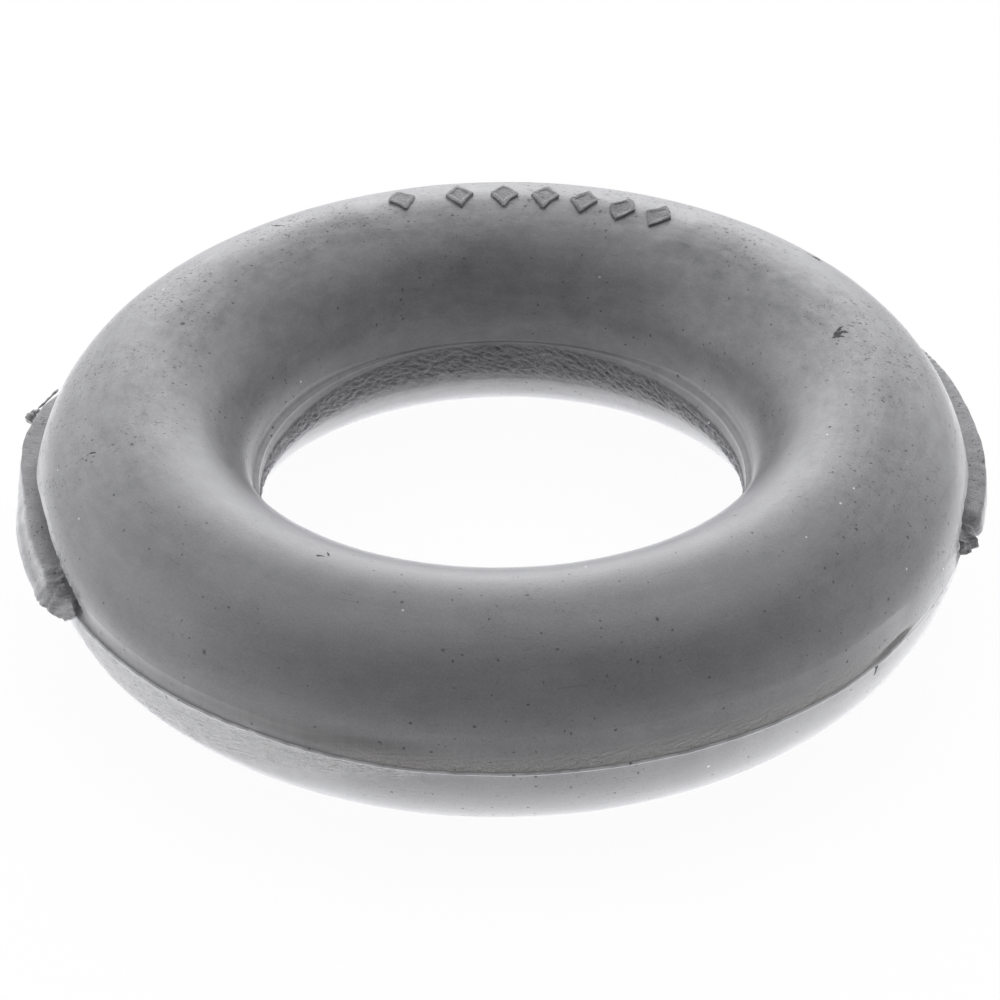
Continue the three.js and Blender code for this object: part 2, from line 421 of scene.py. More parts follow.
def roughenCut(at):  # rough cut in the hole, its grain running down to the right
    mask = (at.part == 7) * (0.3 + 0.7 * ease(-3.1, -2.2, at.z)) + 0.15 * (at.part == 6)
    mask = mask * ease(-3.4, -3.1, at.z)
    along = -np.radians(at.az) * ring["cutRadius"]
    grain = np.stack([(0.8 * along - 0.6 * at.z) * 0.55, 0.6 * along + 0.8 * at.z, 0 * at.z], 1)
    relief = np.zeros(len(mask))
    chosen = at.part == 7
    relief[chosen] = chance(grain[chosen], 0.25, 51.0) + 0.8 * chance(grain[chosen], 0.15, 53.0)
    at.r = at.r + 0.11 * relief * mask
    return mask


def dentAt(at, azimuth, height, squash, size):  # soft spot on the outer wall
    far = ((at.az - azimuth) * mmPerDegree) ** 2 + ((at.z - height) * squash) ** 2
    return np.exp(-far / size) * (at.r > 28)


def tearEdges(at):  # frayed ends of the flash, a slit and two chips in the lip
    torn = ease(199, 204, at.az) * (1 - ease(210, 211.5, at.az))
    torn = torn + ease(339, 341, at.az) * (1 - ease(346.5, 349, at.az))
    torn = torn * np.isin(at.part, [1, 2]) * (at.r > 30.3)
    chosen = torn > 0.01
    fibre = np.stack([at.around, at.r * 0.35, at.z * 0.35], 1)[chosen]
    fray, curl, streak = np.zeros((3, len(torn)))
    fray[chosen] = np.abs(chance(fibre, 0.26, 61.0))
    curl[chosen] = chance(fibre, 0.3, 67.0) + 0.6 * chance(at.points[chosen], 0.25, 69.0)
    streak[chosen] = ease(0.0, 0.35, chance(fibre, 0.2, 73.0))
    at.r = at.r - 0.22 * torn * fray
    at.z = at.z + 0.17 * torn * curl
    slit = ease(314.5, 321, at.az) * (1 - ease(322.5, 326.5, at.az)) * (at.part == 2)
    slit = slit * np.exp(-((at.z - 0.08) / 0.13) ** 2)
    chip = 0.5 * dentAt(at, 318.2, -0.8, 1.1, 0.12) + 0.7 * dentAt(at, 240.5, -0.3, 1.4, 0.1)
    at.r = at.r - 0.2 * slit - 0.16 * chip
    return torn, streak, slit, chip


def paintedShadeMask(at, share, slit):  # painted shade in the flash's hollow root, the groove above the lip, the torn right end and the slit
    inset = roundTable(ring["rootInset"], at.az)
    root = (at.part == 2) * ease(0.3, 0.9, inset) * ease(0.0, 0.3, share) * (1 - ease(0.75, 1, share))
    groove = np.isin(at.part, [2, 3]) * ease(205, 209, at.az) * (1 - ease(254, 266, at.az))
    groove = groove * (0.25 + 0.75 * ease(0.0, 0.6, at.z)) * (1 - ease(1.0, 1.9, at.z))
    groove = groove * (0.8 + 0.2 * wander(at.az, 0.5, 77.0))
    rightEnd = np.isin(at.part, [1, 2]) * ease(329, 336, at.az) * (1 - ease(345, 349, at.az))
    return np.maximum.reduce([root, groove, 0.5 * rightEnd, 0.4 * slit])


def paintedLightAndWearMask(at, row, torn, streak):  # painted highlights along the flash's crest and the lip's edge, partly wear; painted light on the flash's side face and the ledge's sides; paler below the lip at the front right; pale wear streaks on the torn ends
    onEdge = at.part == 1
    patchy = ease(-0.35, 0.25, wander(at.az, 1.1, 71.0))
    atLeft = 1 - ease(203, 207, at.az)
    side = onEdge * ease(176, 190, at.az) * atLeft * ease(1, 3, row)
    crest = onEdge * np.isin(row, [6, 7]) * ease(180, 189, at.az) * atLeft
    lip = onEdge * np.isin(row, [3, 4, 5, 6, 7]) * ease(206, 210, at.az) * (1 - ease(326, 334, at.az))
    under = (at.part == 0) * ease(-4, -1, at.z) * ease(280, 302, at.az) * (1 - ease(335, 345, at.az))
    ledge = (at.part == 5) * np.abs(np.cos(at.phi)) ** 1.5 * ease(-0.8, -0.4, np.sin(at.phi))
    pale = 0.15 * side + crest * (0.4 + 0.6 * patchy) + lip * (0.45 + 0.4 * patchy)
    pale = pale + 0.25 * under * (0.7 + 0.3 * patchy) + 0.5 * ledge * (0.8 + 0.2 * patchy)
    return np.clip(pale + 0.5 * torn * streak, 0, 1)


def dustAndSheenMask(at):  # less of the dust bloom and painted sheen in the hole, over the flash at the left and low down
    front = ease(-0.72, -0.5, np.sin(at.phi))
    wall = ease(116, 138, at.degrees) * (at.part != 8) * (at.z > -2.5)
    inHole = (wall + np.isin(at.part, [5, 6])) * front
    overFlash = ease(172, 178, at.az) * (1 - ease(208, 214, at.az))
    overFlash = overFlash * np.isin(at.part, [2, 3]) * (1 - ease(1.8, 3.4, at.z))
    low = (at.part == 0) * (1 - ease(-5.5, -3.5, at.z))
    return 1 - np.clip(inHole + 0.6 * overFlash + 0.25 * low, 0, 1)


def shapeRing():
    azimuth, radius, height, zone, thick, flush = ringSections()
    piece = spinRing(radius, height)
    place, step = readPoints(piece)

    # each point goes to its section's own shape at its azimuth
    at = SimpleNamespace(r=radius[step, place], z=height[step, place], part=zone[place],
                         az=azimuth[step], phi=np.radians(azimuth[step]), flush=flush[step])
    theta = np.arctan2(at.z / halfHeight, (at.r - centreRadius) / halfWidth)  # section angle
    at.degrees = np.degrees(theta)
    at.points = np.stack([at.r * np.cos(at.phi), at.r * np.sin(at.phi), at.z], 1)
    at.around = at.phi * wallRadius
    lift = liftSkin(at)
    paleBand = trimBand(at)
    cutWall = roughenCut(at)
    torn, streak, slit, chip = tearEdges(at)

    reach = ring["reach"]
    at.r = at.r + lift * np.cos(theta)
    at.z = np.clip(at.z + lift * np.sin(theta), reach["low"][2], reach["high"][2])
    at.r = np.where(np.isin(at.part, [1, 2]), np.minimum(at.r, reach["edge"]), at.r)
    co = np.stack([at.r * np.cos(at.phi), at.r * np.sin(at.phi), at.z], 1)
    co = np.clip(co, reach["low"], reach["high"]) * mm
    piece.data.vertices.foreach_set("co", co.astype(np.float32).ravel())
    piece.data.update()

    # where the rubber is torn, cut or worn, and where shade and highlights are painted, for its
    # material
    row = place - ring["counts"][0]  # of the edge
    share = np.clip((row - ring["counts"][1]) / ring["counts"][2], 0, 1)
    # painted shade down the inside of the hole: on the cut wall, the ledge and the wall above it
    cut = np.isin(at.part, [6, 7]) * ease(-3.35, -1.9, at.z)
    cut = cut + 0.8 * np.isin(at.part, [4, 5]) * (1 - ease(0.4, 3.4, at.z))
    matte = (at.part == 2) * ease(246, 256, at.az) * (1 - ease(322, 330, at.az))
    shelf = (at.part == 2) * (1 - share ** 3) + (at.part == 1) * (row > 2)
    setAttribute(piece, "cutWall", cutWall)
    setAttribute(piece, "trimmed", paleBand)
    setAttribute(piece, "torn", np.clip(torn + chip, 0, 1))
    # the root mask is painted shade in those hollows
    setAttribute(piece, "root", paintedShadeMask(at, share, slit))
    # the rim mask is mostly painted highlights and light, with pale wear on the torn ends
    setAttribute(piece, "rim", paintedLightAndWearMask(at, row, torn, streak))
    setAttribute(piece, "matte", matte * (1 - ease(-0.1, 1.3, at.z)))
    # the painted shade in the hole is deepest at the back
    setAttribute(piece, "cut", cut * (0.35 + 0.65 * np.clip(np.sin(at.phi), 0, 1)))
    setAttribute(piece, "shelf", np.clip(shelf, 0, 1) * thick[step])
    setAttribute(piece, "bloom", dustAndSheenMask(at))
    makeActive(piece)
    bpy.ops.object.shade_smooth()
    return piece


hangerRing = shapeRing()
print("ring shaped")

marks = {
    "azimuths": [106.5, 96.8, 89.2, 82.2, 75.2, 68.2, 61.6],
    "angles": [84.5, 87, 88, 88.5, 90, 92, 91.5],  # section angle of each middle
    "width": 2.1,
    "length": 3.4,
    "reach": (24.5, 7.6),  # radii round the ring and round its section where they stand
    "height": 0.17,
    "sunk": 0.3,
    "rims": (0.09, 0.07),  # flat rim and slope round the dent, shares of the mark
    "dent": 0.22,
    "waver": 0.07,  # how far each copy's points stray
    "seed": 5,
    "top": 7.845,  # nothing stands higher
}


def addMarks(values):  # plain lozenges, one modelled and copied along the crown
    noise.seed_set(values["seed"])  # noise_vector is different in every run without it
    roundRadius, sectionRadius = values["reach"]
    deselectAll()
    bpy.ops.mesh.primitive_circle_add(vertices=4, radius=0.5, fill_type="NGON")
    first = bpy.context.object
    bpy.ops.object.mode_set(mode="EDIT")
    bpy.ops.mesh.select_all(action="SELECT")
    bpy.ops.mesh.extrude_region_move(TRANSFORM_OT_translate={"value": (0, 0, 1)})
    for rim in values["rims"]:
        bpy.ops.mesh.inset(thickness=rim, depth=0)
    bpy.ops.transform.translate(value=(0, 0, -values["dent"]))
    bpy.ops.mesh.select_all(action="SELECT")
    bpy.ops.mesh.normals_make_consistent(inside=False)
    bpy.ops.mesh.bevel(offset=0.05, segments=3, affect="EDGES")
    bpy.ops.mesh.subdivide(number_cuts=1)
    bpy.ops.object.mode_set(mode="OBJECT")
    made = []
    for azimuth, angle in zip(values["azimuths"], values["angles"]):
        copy = first.copy()
        copy.data = first.data.copy()
        bpy.context.collection.objects.link(copy)
        for vertex in copy.data.vertices:
            waver = noise.noise_vector(vertex.co * 4 + Vector((azimuth, 0, 0)))
            x, y, h = vertex.co + values["waver"] * waver
            around = math.radians(azimuth) - x * values["width"] / roundRadius
            section = math.radians(angle) - y * values["length"] / sectionRadius
            lift = h * (values["sunk"] + values["height"]) - values["sunk"] - ring["marksRecess"]
            radius = centreRadius + (halfWidth + lift) * math.cos(section)
            height = min((roundedHeight + lift) * math.sin(section), values["top"])
            vertex.co = Vector((radius * math.cos(around), radius * math.sin(around), height)) * mm
        made.append(copy)
    bpy.data.objects.remove(first)
    makeActive(made[0])
    for copy in made:
        copy.select_set(True)
    bpy.ops.object.join()
    piece = bpy.context.object
    piece.name = "mouldMarks"
    bpy.ops.object.mode_set(mode="EDIT")
    bpy.ops.mesh.select_all(action="SELECT")
    bpy.ops.mesh.normals_make_consistent(inside=False)
    bpy.ops.object.mode_set(mode="OBJECT")
    bpy.ops.object.shade_smooth()
    return piece


mouldMarks = addMarks(marks)
print("marks set")

crumbs = {
    # place, half sizes and turn about the axis, mm and degrees
    "lumps": [
        [(-32.2, 7.0, 0.15), (0.4, 0.4, 0.38), 10],
        [(-31.95, 6.75, 0.05), (0.3, 0.24, 0.3), -20],
        [(-32.05, 7.3, 0.4), (0.2, 0.22, 0.16), 30],
        [(-31.85, 7.25, 0.5), (0.3, 0.16, 0.14), 50],
        [(-31.5, 7.9, 0.62), (0.5, 0.06, 0.09), 60],
        [(-31.15, 8.6, 0.66), (0.45, 0.07, 0.08), 63],
        [(-30.8, 9.3, 0.7), (0.42, 0.09, 0.09), 61],
    ],
    "roughness": 0.3,
}


def addCrumbs(values):
    made = []
    low, high = ring["reach"]["low"][0], ring["reach"]["high"][0]
    for number, (place, sizes, turn) in enumerate(values["lumps"]):
        deselectAll()
        bpy.ops.mesh.primitive_ico_sphere_add(subdivisions=4, radius=1)
        lump = bpy.context.object
        angle = math.radians(turn)
        for vertex in lump.data.vertices:
            p = vertex.co.copy()
            bump = noise.noise(p * 1.7 + Vector((number * 3.1, 0, 0)))
            bump += 0.5 * noise.noise(p * 4 + Vector((0, number * 2.7, 0)))
            p *= 1 + values["roughness"] * bump
            x, y, z = p.x * sizes[0], p.y * sizes[1], p.z * sizes[2]
            px = place[0] + x * math.cos(angle) - y * math.sin(angle)
            py = place[1] + x * math.sin(angle) + y * math.cos(angle)
            vertex.co = Vector((min(max(px, low), high), py, place[2] + z)) * mm
        made.append(lump)
    makeActive(made[0])
    for lump in made:
        lump.select_set(True)
    bpy.ops.object.join()
    piece = bpy.context.object
    piece.name = "tornCrumbs"
    bpy.ops.object.shade_smooth()
    return piece


tornCrumbs = addCrumbs(crumbs)
print("crumbs set")


def addNode(tree, kind, inputs=None, **settings):
    made = tree.nodes.new(kind)
    for key, value in settings.items():
        setattr(made, key, value)
    for key, value in (inputs or {}).items():
        if isinstance(value, bpy.types.NodeSocket):
            tree.links.new(value, made.inputs[key])
        else:
            made.inputs[key].default_value = value
    return made


def doMath(tree, operation, a, b=0.0, c=0.0, clamp=False):
    made = addNode(tree, "ShaderNodeMath", {0: a, 1: b, 2: c}, operation=operation, use_clamp=clamp)
    return made.outputs[0]


def doVector(tree, operation, a, b=(0, 0, 0)):
    return addNode(tree, "ShaderNodeVectorMath", {0: a, 1: b}, operation=operation).outputs[0]


def mapRange(tree, value, low, high, newLow=0.0, newHigh=1.0):
    made = addNode(tree, "ShaderNodeMapRange", {"Value": value, "From Min": low, "From Max": high,
                                               "To Min": newLow, "To Max": newHigh},
                   interpolation_type="SMOOTHSTEP")
    return made.outputs[0]


def mixColour(tree, share, a, b, blend="MIX"):
    made = addNode(tree, "ShaderNodeMix", data_type="RGBA", blend_type=blend)
    for place, value in ((0, share), (6, a), (7, b)):
        if isinstance(value, bpy.types.NodeSocket):
            tree.links.new(value, made.inputs[place])
        else:
            made.inputs[place].default_value = value
    return made.outputs[2]


def newGroup(name, inputs, outputs):
    tree = bpy.data.node_groups.new(name, "ShaderNodeTree")
    for label, value in inputs:
        kind = "NodeSocketFloat" if isinstance(value, float) else "NodeSocketVector"
        socket = tree.interface.new_socket(name=label, in_out="INPUT", socket_type=kind)
        socket.default_value = value
    for label in outputs:
        tree.interface.new_socket(name=label, in_out="OUTPUT", socket_type="NodeSocketFloat")
    return tree, tree.nodes.new("NodeGroupInput"), tree.nodes.new("NodeGroupOutput")


def splitVector(tree, vector):
    return addNode(tree, "ShaderNodeSeparateXYZ", {0: vector}).outputs


def joinVector(tree, x, y, z=0.0):
    return addNode(tree, "ShaderNodeCombineXYZ", {0: x, 1: y, 2: z}).outputs[0]


def scaleVector(tree, vector, scale):
    made = addNode(tree, "ShaderNodeVectorMath", {0: vector, "Scale": scale}, operation="SCALE")
    return made.outputs[0]


def flatten(tree, vector):
    return doVector(tree, "MULTIPLY", vector, (1, 1, 0))


def lengthOf(tree, vector):
    return addNode(tree, "ShaderNodeVectorMath", {0: vector}, operation="LENGTH").outputs["Value"]


def objectPoint(tree):  # the surface point in mm
    return scaleVector(tree, addNode(tree, "ShaderNodeTexCoord").outputs["Object"], 1000.0)


def noiseAt(tree, vector, scale, detail=2.0, roughness=0.5):
    return addNode(tree, "ShaderNodeTexNoise", {"Vector": vector, "Scale": scale, "Detail": detail,
                                               "Roughness": roughness}).outputs


def middled(tree, value):  # a noise's value, about 0 instead of about 0.5
    return doMath(tree, "SUBTRACT", value, 0.5)


def bendAt(tree, vector, amount, *look):  # a vector that strays by up to half the amount
    colour = noiseAt(tree, vector, *look)["Color"]
    return scaleVector(tree, doVector(tree, "SUBTRACT", colour, (0.5, 0.5, 0.5)), amount)


def cellsAt(tree, vector, scale):  # distance to the nearest of the scattered points, and its draws
    cells = addNode(tree, "ShaderNodeTexVoronoi", {"Vector": vector, "Scale": scale}).outputs
    return cells["Distance"], addNode(tree, "ShaderNodeSeparateColor", {0: cells["Color"]}).outputs


def makeSkinGroup():  # moulded rubber: blotches, fine grain and faint lines round the ring
    tree, given, put = newGroup("mouldedSkin", [("Lines", 1.0)], ["Tone", "Height", "Polish"])
    point = objectPoint(tree)
    sides = splitVector(tree, point)
    flat = flatten(tree, point)
    radius = lengthOf(tree, flat)
    turn = splitVector(tree, doVector(tree, "NORMALIZE", flat))
    section = doMath(tree, "ARCTAN2", sides[2], doMath(tree, "SUBTRACT", radius, centreRadius))
    across = doMath(tree, "MULTIPLY", section, 9.0)

    def roundRing(fine):  # a vector with one scale round the ring and another across it
        turns = [doMath(tree, "MULTIPLY", turn[i], fine) for i in (0, 1)]
        return joinVector(tree, *turns, across)

    lines = middled(tree, noiseAt(tree, roundRing(1.6), 3.0, 3.0, 0.65)[0])
    streaks = middled(tree, noiseAt(tree, roundRing(9.0), 1.0, 4.0, 0.65)[0])
    broad = middled(tree, noiseAt(tree, point, 0.16, 2.0, 0.55)[0])
    patches = middled(tree, noiseAt(tree, point, 0.7, 4.0, 0.6)[0])
    grain = middled(tree, noiseAt(tree, point, 9.0, 2.0, 0.6)[0])
    # streaks and patches are strongest at the back and on the outside
    worn = mapRange(tree, sides[1], -26.0, 4.0, 0.35, 1.6)
    worn = doMath(tree, "MULTIPLY", worn, mapRange(tree, radius, 18.5, 23.0, 0.5, 1.0))
    patchTone = doMath(tree, "MULTIPLY", patches, 0.6)
    mottled = doMath(tree, "MULTIPLY_ADD", streaks, 0.7, patchTone)
    lineTone = doMath(tree, "MULTIPLY", lines, given.outputs["Lines"])
    tone = doMath(tree, "MULTIPLY_ADD", broad, 0.28, 1.0)
    tone = doMath(tree, "MULTIPLY_ADD", mottled, worn, tone)
    tone = doMath(tree, "MULTIPLY_ADD", lineTone, 0.07, tone)
    tone = doMath(tree, "MULTIPLY_ADD", grain, 0.55, tone)
    polish = doMath(tree, "MULTIPLY_ADD", patches, 0.12, doMath(tree, "MULTIPLY", lineTone, 0.25))
    tree.links.new(tone, put.inputs["Tone"])
    tree.links.new(doMath(tree, "MULTIPLY", grain, 0.12), put.inputs["Height"])
    tree.links.new(polish, put.inputs["Polish"])
    return tree


def makePitsGroup():  # small pits, painted dark for their shade, and a few specks of pale dust
    tree, given, put = newGroup("pitsAndDust", [("Pits", 1.0), ("Dust", 1.0)], ["Pit", "Speck"])
    point = objectPoint(tree)
    # most at the back and on the outside
    depth = splitVector(tree, point)[1]
    radius = lengthOf(tree, flatten(tree, point))
    crowd = mapRange(tree, noiseAt(tree, point, 0.13)[0], 0.32, 0.64)
    crowd = doMath(tree, "MULTIPLY", crowd, mapRange(tree, depth, -24.0, 4.0, 0.3, 1.4))
    crowd = doMath(tree, "MULTIPLY", crowd, mapRange(tree, radius, 19.5, 25.5, 0.3, 1.2))
    bent = doVector(tree, "ADD", point, bendAt(tree, point, 0.3, 5.0))
    total = 0.0
    for scale, size, share in ((0.55, 0.1, 0.6), (1.15, 0.13, 0.7), (2.3, 0.2, 0.9)):
        distance, draw = cellsAt(tree, bent, scale)
        chosen = doMath(tree, "LESS_THAN", draw[0], doMath(tree, "MULTIPLY", crowd, share))
        reach = doMath(tree, "MULTIPLY_ADD", draw[1], size, size * 0.3)
        spot = mapRange(tree, doMath(tree, "SUBTRACT", distance, reach), 0.0, -0.06)
        total = doMath(tree, "MAXIMUM", total, doMath(tree, "MULTIPLY", spot, chosen))
    thinned = doMath(tree, "MULTIPLY", crowd, 0.6, clamp=True)
    for scale, start in ((2.6, 0.61), (5.5, 0.62)):
        crumbs = mapRange(tree, noiseAt(tree, point, scale, 2.0, 0.6)[0], start, start + 0.07)
        total = doMath(tree, "MAXIMUM", total, doMath(tree, "MULTIPLY", crumbs, thinned))
    distance, draw = cellsAt(tree, point, 0.8)
    speck = doMath(tree, "LESS_THAN", draw[2], 0.05)
    speck = doMath(tree, "MULTIPLY", mapRange(tree, distance, 0.09, 0.05), speck)
    tree.links.new(doMath(tree, "MULTIPLY", total, given.outputs["Pits"]), put.inputs["Pit"])
    tree.links.new(doMath(tree, "MULTIPLY", speck, given.outputs["Dust"]), put.inputs["Speck"])
    return tree


def makeTornGroup():  # torn and cut rubber: slanted drag marks and a crumbly grain
    tree, given, put = newGroup("tornRubberGrain", [("Drag", 1.0)], ["Tone", "Height"])
    point = objectPoint(tree)
    x, y, z = splitVector(tree, point)
    run = doMath(tree, "MULTIPLY", doMath(tree, "ARCTAN2", y, x), ring["cutRadius"])
    along = doMath(tree, "MULTIPLY", doMath(tree, "MULTIPLY_ADD", z, 0.7, run), 1.1)
    across = doMath(tree, "SUBTRACT", z, doMath(tree, "MULTIPLY", run, 0.45))
    across = doMath(tree, "MULTIPLY", across, 4.2)
    drag = middled(tree, noiseAt(tree, joinVector(tree, along, across), 1.2, 3.0, 0.6)[0])
    crumble = middled(tree, noiseAt(tree, point, 5.0, 3.0, 0.7)[0])
    both = doMath(tree, "MULTIPLY_ADD", drag, given.outputs["Drag"], crumble)
    tree.links.new(doMath(tree, "MULTIPLY_ADD", both, 0.9, 1.05), put.inputs["Tone"])
    tree.links.new(both, put.inputs["Height"])
    return tree


def makeScarGroup():  # one torn hole in the skin, at a place given in mm, with ragged wings
    inputs = [("Bend", (0, 0, 0)), ("Place", (0, 0, 0)), ("Length", 0.8), ("Turn", 0.4)]
    tree, given, put = newGroup("tornScar", inputs, ["Mask"])
    length = given.outputs["Length"]
    off = doVector(tree, "SUBTRACT", objectPoint(tree), given.outputs["Place"])
    off = doVector(tree, "ADD", off, scaleVector(tree, given.outputs["Bend"], length))
    turned = addNode(tree, "ShaderNodeVectorRotate", {"Vector": off, "Angle": given.outputs["Turn"]},
                     rotation_type="Z_AXIS").outputs[0]
    shares = [doMath(tree, "DIVIDE", side, doMath(tree, "MULTIPLY", length, part))
              for side, part in zip(splitVector(tree, turned), (1.0, 0.3, 1.2))]
    size = lengthOf(tree, joinVector(tree, *shares))
    tree.links.new(mapRange(tree, size, 1.0, 0.75), put.inputs["Mask"])
    return tree


skinGroup = makeSkinGroup()
pitsGroup = makePitsGroup()
tornGroup = makeTornGroup()
scarGroup = makeScarGroup()

scars = [  # azimuth, section angle, length in mm and turn of each torn hole in the skin
    (11.5, 95.7, 0.8, -0.4), (10.8, 96.8, 0.45, 0.3), (12.8, 94.4, 0.4, -0.9),
    (241.2, 96.5, 0.35, 0.3), (242, 100, 0.3, 1.0), (36, 62, 0.8, 0.9), (318.2, -7, 0.5, 0.6),
    (196, 62, 0.3, 0.4), (128, 78, 0.6, 0.5),
]

rubberLook = {
    "colour": (0.2, 0.2, 0.2095, 1),
    # pits and torn holes are painted dark for the shade inside them
    "pitShadeColour": (0.045, 0.045, 0.047, 1),
    "scarShadeColour": (0.02, 0.02, 0.02, 1),
    "dustColour": (0.62, 0.62, 0.62, 1),
    # masks painted on the ring, wear and painted light and shade, how much each covers and its colour,
    # from the lowest layer up
    "wearAndPaintedLight": [
        # root: painted shade in the hollows along the flash and the lip
        ("root", 0.8, (0.06, 0.06, 0.061, 1)),
        # cut: painted shade inside the hole
        ("cut", 0.35, (0.07, 0.07, 0.072, 1)),
        ("matte", 0.6, (0.3, 0.29, 0.28, 1)),
        ("trimmed", 0.6, (0.46, 0.46, 0.465, 1)),
        # rim: mostly painted highlights and light, with some wear
        ("rim", 0.75, (0.6, 0.6, 0.62, 1)),
    ],
    # and how rough each is
    "rough": [("cutWall", 1.0), ("trimmed", 1.0), ("torn", 1.0), ("matte", 0.6), ("shelf", 0.45)],
    # dust bloom and painted sheen towards the outline
    "bloom": 0.72,
    "dustAndSheenColour": (0.6, 0.6, 0.635, 1),
    "roughness": 0.33,
    "bumpDistance": 0.00012,
}
crumbLook = {**rubberLook, "colour": (0.36, 0.36, 0.367, 1)}


def greyOf(tree, value):
    return addNode(tree, "ShaderNodeCombineColor", {0: value, 1: value, 2: value}).outputs[0]


def addGroup(tree, group, **values):
    made = addNode(tree, "ShaderNodeGroup", node_tree=group)
    for label, value in values.items():
        made.inputs[label].default_value = value
    return made


def addScars(tree):  # mask of all the torn holes
    skinHeight = 7.83  # of the skin's own waves at the crown
    bend = bendAt(tree, objectPoint(tree), 1.7, 1.7, 3.0, 0.6)
    total = 0.0
    for azimuth, angle, length, turn in scars:
        a, t = math.radians(azimuth), math.radians(angle)
        radius = centreRadius + halfWidth * math.cos(t)
        place = (radius * math.cos(a), radius * math.sin(a), skinHeight * math.sin(t))
        scar = addGroup(tree, scarGroup, Place=place, Length=length, Turn=turn)
        tree.links.new(bend, scar.inputs["Bend"])
        total = doMath(tree, "MAXIMUM", total, scar.outputs[0])
    return total


def makeRubber(name, values, lines=1.0, pits=1.0, dust=1.0, drag=1.0, painted=False):
    material = bpy.data.materials.new(name)
    material.use_nodes = True
    tree = material.node_tree
    shader = tree.nodes["Principled BSDF"]
    skin = addGroup(tree, skinGroup, Lines=lines).outputs
    spots = addGroup(tree, pitsGroup, Pits=pits, Dust=dust).outputs
    tears = addGroup(tree, tornGroup, Drag=drag).outputs
    colour = mixColour(tree, 1.0, values["colour"], greyOf(tree, skin["Tone"]), "MULTIPLY")
    pit = spots["Pit"]
    # dust bloom and painted sheen: paler where the skin turns away from the view
    facing = addNode(tree, "ShaderNodeLayerWeight", {"Blend": 0.5}).outputs["Facing"]
    bloom = doMath(tree, "MULTIPLY", doMath(tree, "POWER", facing, 3.0), values["bloom"])
    rough = 1.0
    if painted:  # worn and cut places, painted shade and painted highlights are painted on the ring's points
        keys = {key for key, *rest in values["wearAndPaintedLight"] + values["rough"]} | {"bloom"}
        mask = {key: addNode(tree, "ShaderNodeAttribute", attribute_name=key).outputs["Fac"]
                for key in sorted(keys)}
        rough = 0.0
        for key, share in values["rough"]:
            rough = doMath(tree, "MAXIMUM", rough, doMath(tree, "MULTIPLY", mask[key], share))
        for key, share, tint in values["wearAndPaintedLight"]:
            colour = mixColour(tree, doMath(tree, "MULTIPLY", mask[key], share), colour, tint)
        torn = addScars(tree)
        # torn holes painted near black, standing for the shade inside them
        colour = mixColour(tree, doMath(tree, "MULTIPLY", torn, 0.9), colour, values["scarShadeColour"])
        pit = doMath(tree, "MAXIMUM", pit, torn)
        bloom = doMath(tree, "MULTIPLY", bloom, mask["bloom"])
        bloom = doMath(tree, "MULTIPLY", bloom, doMath(tree, "SUBTRACT", 1.0, torn))
    # pits painted dark for the shade inside them, as they have no depth
    colour = mixColour(tree, doMath(tree, "MULTIPLY", pit, 0.75), colour, values["pitShadeColour"])
    colour = mixColour(tree, spots["Speck"], colour, values["dustColour"])
    tornTone = mixColour(tree, rough, (1, 1, 1, 1), greyOf(tree, tears["Tone"]))
    colour = mixColour(tree, 1.0, colour, tornTone, "MULTIPLY")
    colour = mixColour(tree, bloom, colour, values["dustAndSheenColour"])
    tree.links.new(colour, shader.inputs["Base Color"])
    polish = doMath(tree, "ADD", values["roughness"], skin["Polish"])
    polish = doMath(tree, "MULTIPLY_ADD", rough, 0.25, polish)
    polish = doMath(tree, "MULTIPLY_ADD", pit, 0.5, polish, clamp=True)
    tree.links.new(polish, shader.inputs["Roughness"])
    height = doMath(tree, "MULTIPLY", skin["Height"], doMath(tree, "SUBTRACT", 1.0, rough))
    tornHeight = doMath(tree, "MULTIPLY", tears["Height"], rough)
    height = doMath(tree, "MULTIPLY_ADD", tornHeight, 1.6, height)
    bump = addNode(tree, "ShaderNodeBump", {"Distance": values["bumpDistance"], "Height": height,
                                            "Strength": 1.0})
    tree.links.new(bump.outputs[0], shader.inputs["Normal"])
    return material


ringRubber = makeRubber("mouldedRubber", rubberLook, painted=True)
markRubber = makeRubber("raisedRubber", rubberLook, lines=0.6, pits=0.6, dust=0.0, drag=0.3)
crumbRubber = makeRubber("tornRubber", crumbLook, lines=0.0, pits=0.3, dust=0.0, drag=0.4)
for piece, material in ((hangerRing, ringRubber), (mouldMarks, markRubber), (tornCrumbs, crumbRubber)):
    piece.data.materials.clear()
    piece.data.materials.append(material)
    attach(piece, "root")
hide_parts("hanger_ring")
print("materials set")

studio = {
    "floorSize": 1.6,
    # the floor's own light on the ring, as from a light table: its level under the hole, and
    # under the ring and round it; between which radii it changes and then fades out, mm
    "holeGlow": 0.4,
    "ringGlow": 1.36,
    "holeEdge": (9.0, 15.0),
    "glowReach": (44.0, 60.0),
    "floorColour": (0.8, 0.8, 0.8, 1),
    "whiteShare": 0.95,  # of what the camera sees of the floor; the rest keeps the shadow
    "lampWidth": 45,  # degrees of sky that each softbox fills
    # azimuth and height of each softbox in degrees, and its level
    "lamps": [
        (0, 10, 0.38), (45, 10, 0.6), (90, 10, 1.07), (135, 10, 0.62), (180, 10, 0.96),
        (45, 36, 0.23), (90, 36, 0.63), (135, 36, 0.35), (180, 36, 0.08),
        (0, 62, 0.66), (60, 62, 0.4), (120, 62, 0.06), (180, 62, 0.58), (0, 90, 0.21),
    ],
}


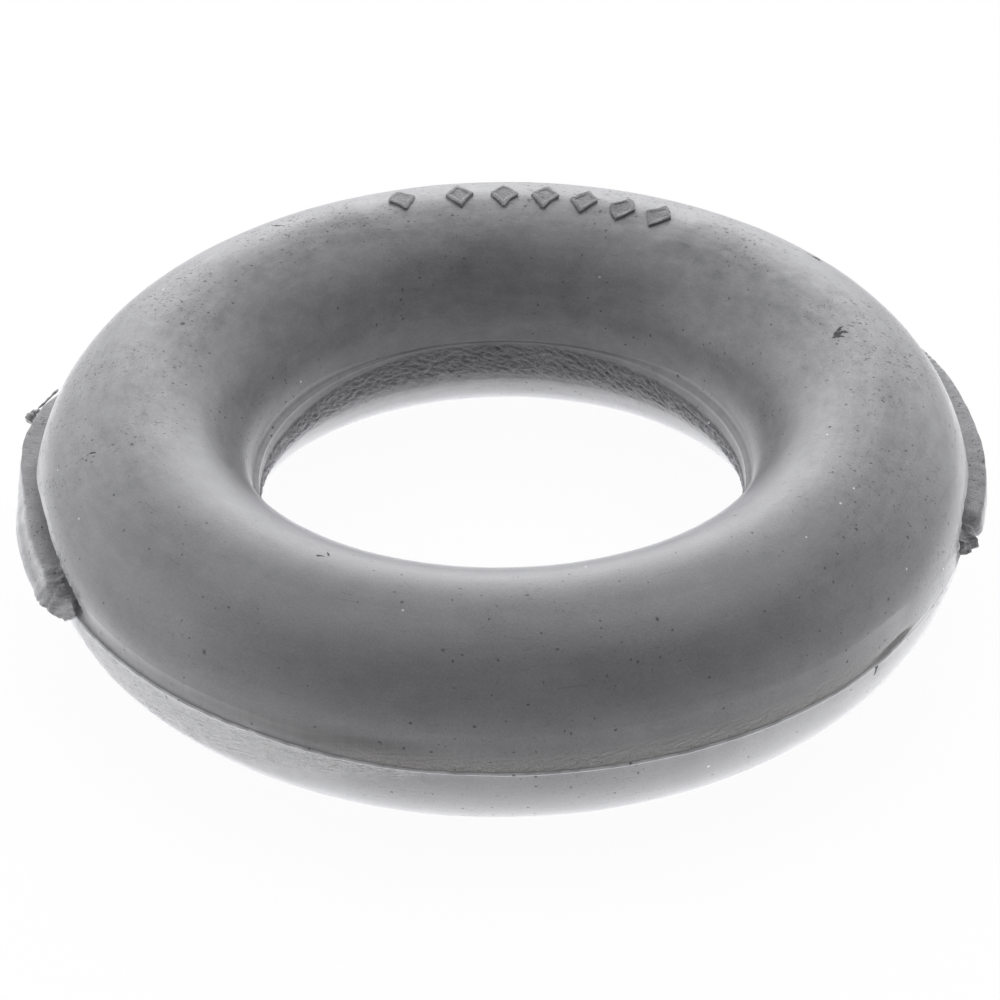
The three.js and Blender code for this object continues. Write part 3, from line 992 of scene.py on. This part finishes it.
def addFloor(values):
    deselectAll()
    bpy.ops.mesh.primitive_plane_add(size=values["floorSize"], location=(0, 0, -halfHeight * mm))
    floor = bpy.context.object
    floor.name = "studioFloor"
    material = bpy.data.materials.new("paleFloor")
    material.use_nodes = True
    tree = material.node_tree
    tree.nodes.remove(tree.nodes["Principled BSDF"])
    rays = addNode(tree, "ShaderNodeLightPath")
    paint = addNode(tree, "ShaderNodeBsdfDiffuse", {"Color": values["floorColour"]})
    radius = lengthOf(tree, flatten(tree, objectPoint(tree)))
    level = mapRange(tree, radius, *values["holeEdge"], values["holeGlow"], values["ringGlow"])
    fade = mapRange(tree, radius, *values["glowReach"], 1.0, 0.0)
    level = doMath(tree, "MULTIPLY", level, fade)
    glow = addNode(tree, "ShaderNodeEmission", {"Strength": level})
    lit = addNode(tree, "ShaderNodeAddShader", {0: paint.outputs[0], 1: glow.outputs[0]})
    white = addNode(tree, "ShaderNodeEmission", {"Strength": 1.0})
    seenPaint = addNode(tree, "ShaderNodeBsdfDiffuse", {"Color": (1, 1, 1, 1)})
    seen = addNode(tree, "ShaderNodeMixShader", {0: values["whiteShare"], 1: seenPaint.outputs[0],
                                                 2: white.outputs[0]})
    choose = addNode(tree, "ShaderNodeMixShader", {0: rays.outputs["Is Camera Ray"], 1: lit.outputs[0],
                                                   2: seen.outputs[0]})
    tree.links.new(choose.outputs[0], tree.nodes["Material Output"].inputs[0])
    floor.data.materials.append(material)


def setWorld():  # white for the camera alone; the lamps do the lighting
    world = bpy.data.worlds.new("studioWorld")
    bpy.context.scene.world = world
    world.use_nodes = True
    tree = world.node_tree
    rays = addNode(tree, "ShaderNodeLightPath")
    tree.links.new(rays.outputs["Is Camera Ray"], tree.nodes["Background"].inputs["Strength"])
    tree.nodes["Background"].inputs["Color"].default_value = (1, 1, 1, 1)


def addLamps(values):
    for number, (azimuth, tilt, level) in enumerate(values["lamps"]):
        a, e = math.radians(azimuth), math.radians(tilt)
        away = Vector((math.cos(a) * math.cos(e), math.sin(a) * math.cos(e), math.sin(e)))
        bpy.ops.object.light_add(type="SUN", location=away * 0.3)
        lamp = bpy.context.object
        lamp.name = "softbox%02d" % (number + 1)
        lamp.rotation_euler = away.to_track_quat("Z", "Y").to_euler()
        lamp.data.angle = math.radians(values["lampWidth"])
        lamp.data.energy = level


addFloor(studio)
setWorld()
addLamps(studio)
bpy.context.scene.view_settings.view_transform = "Standard"
print("studio set")
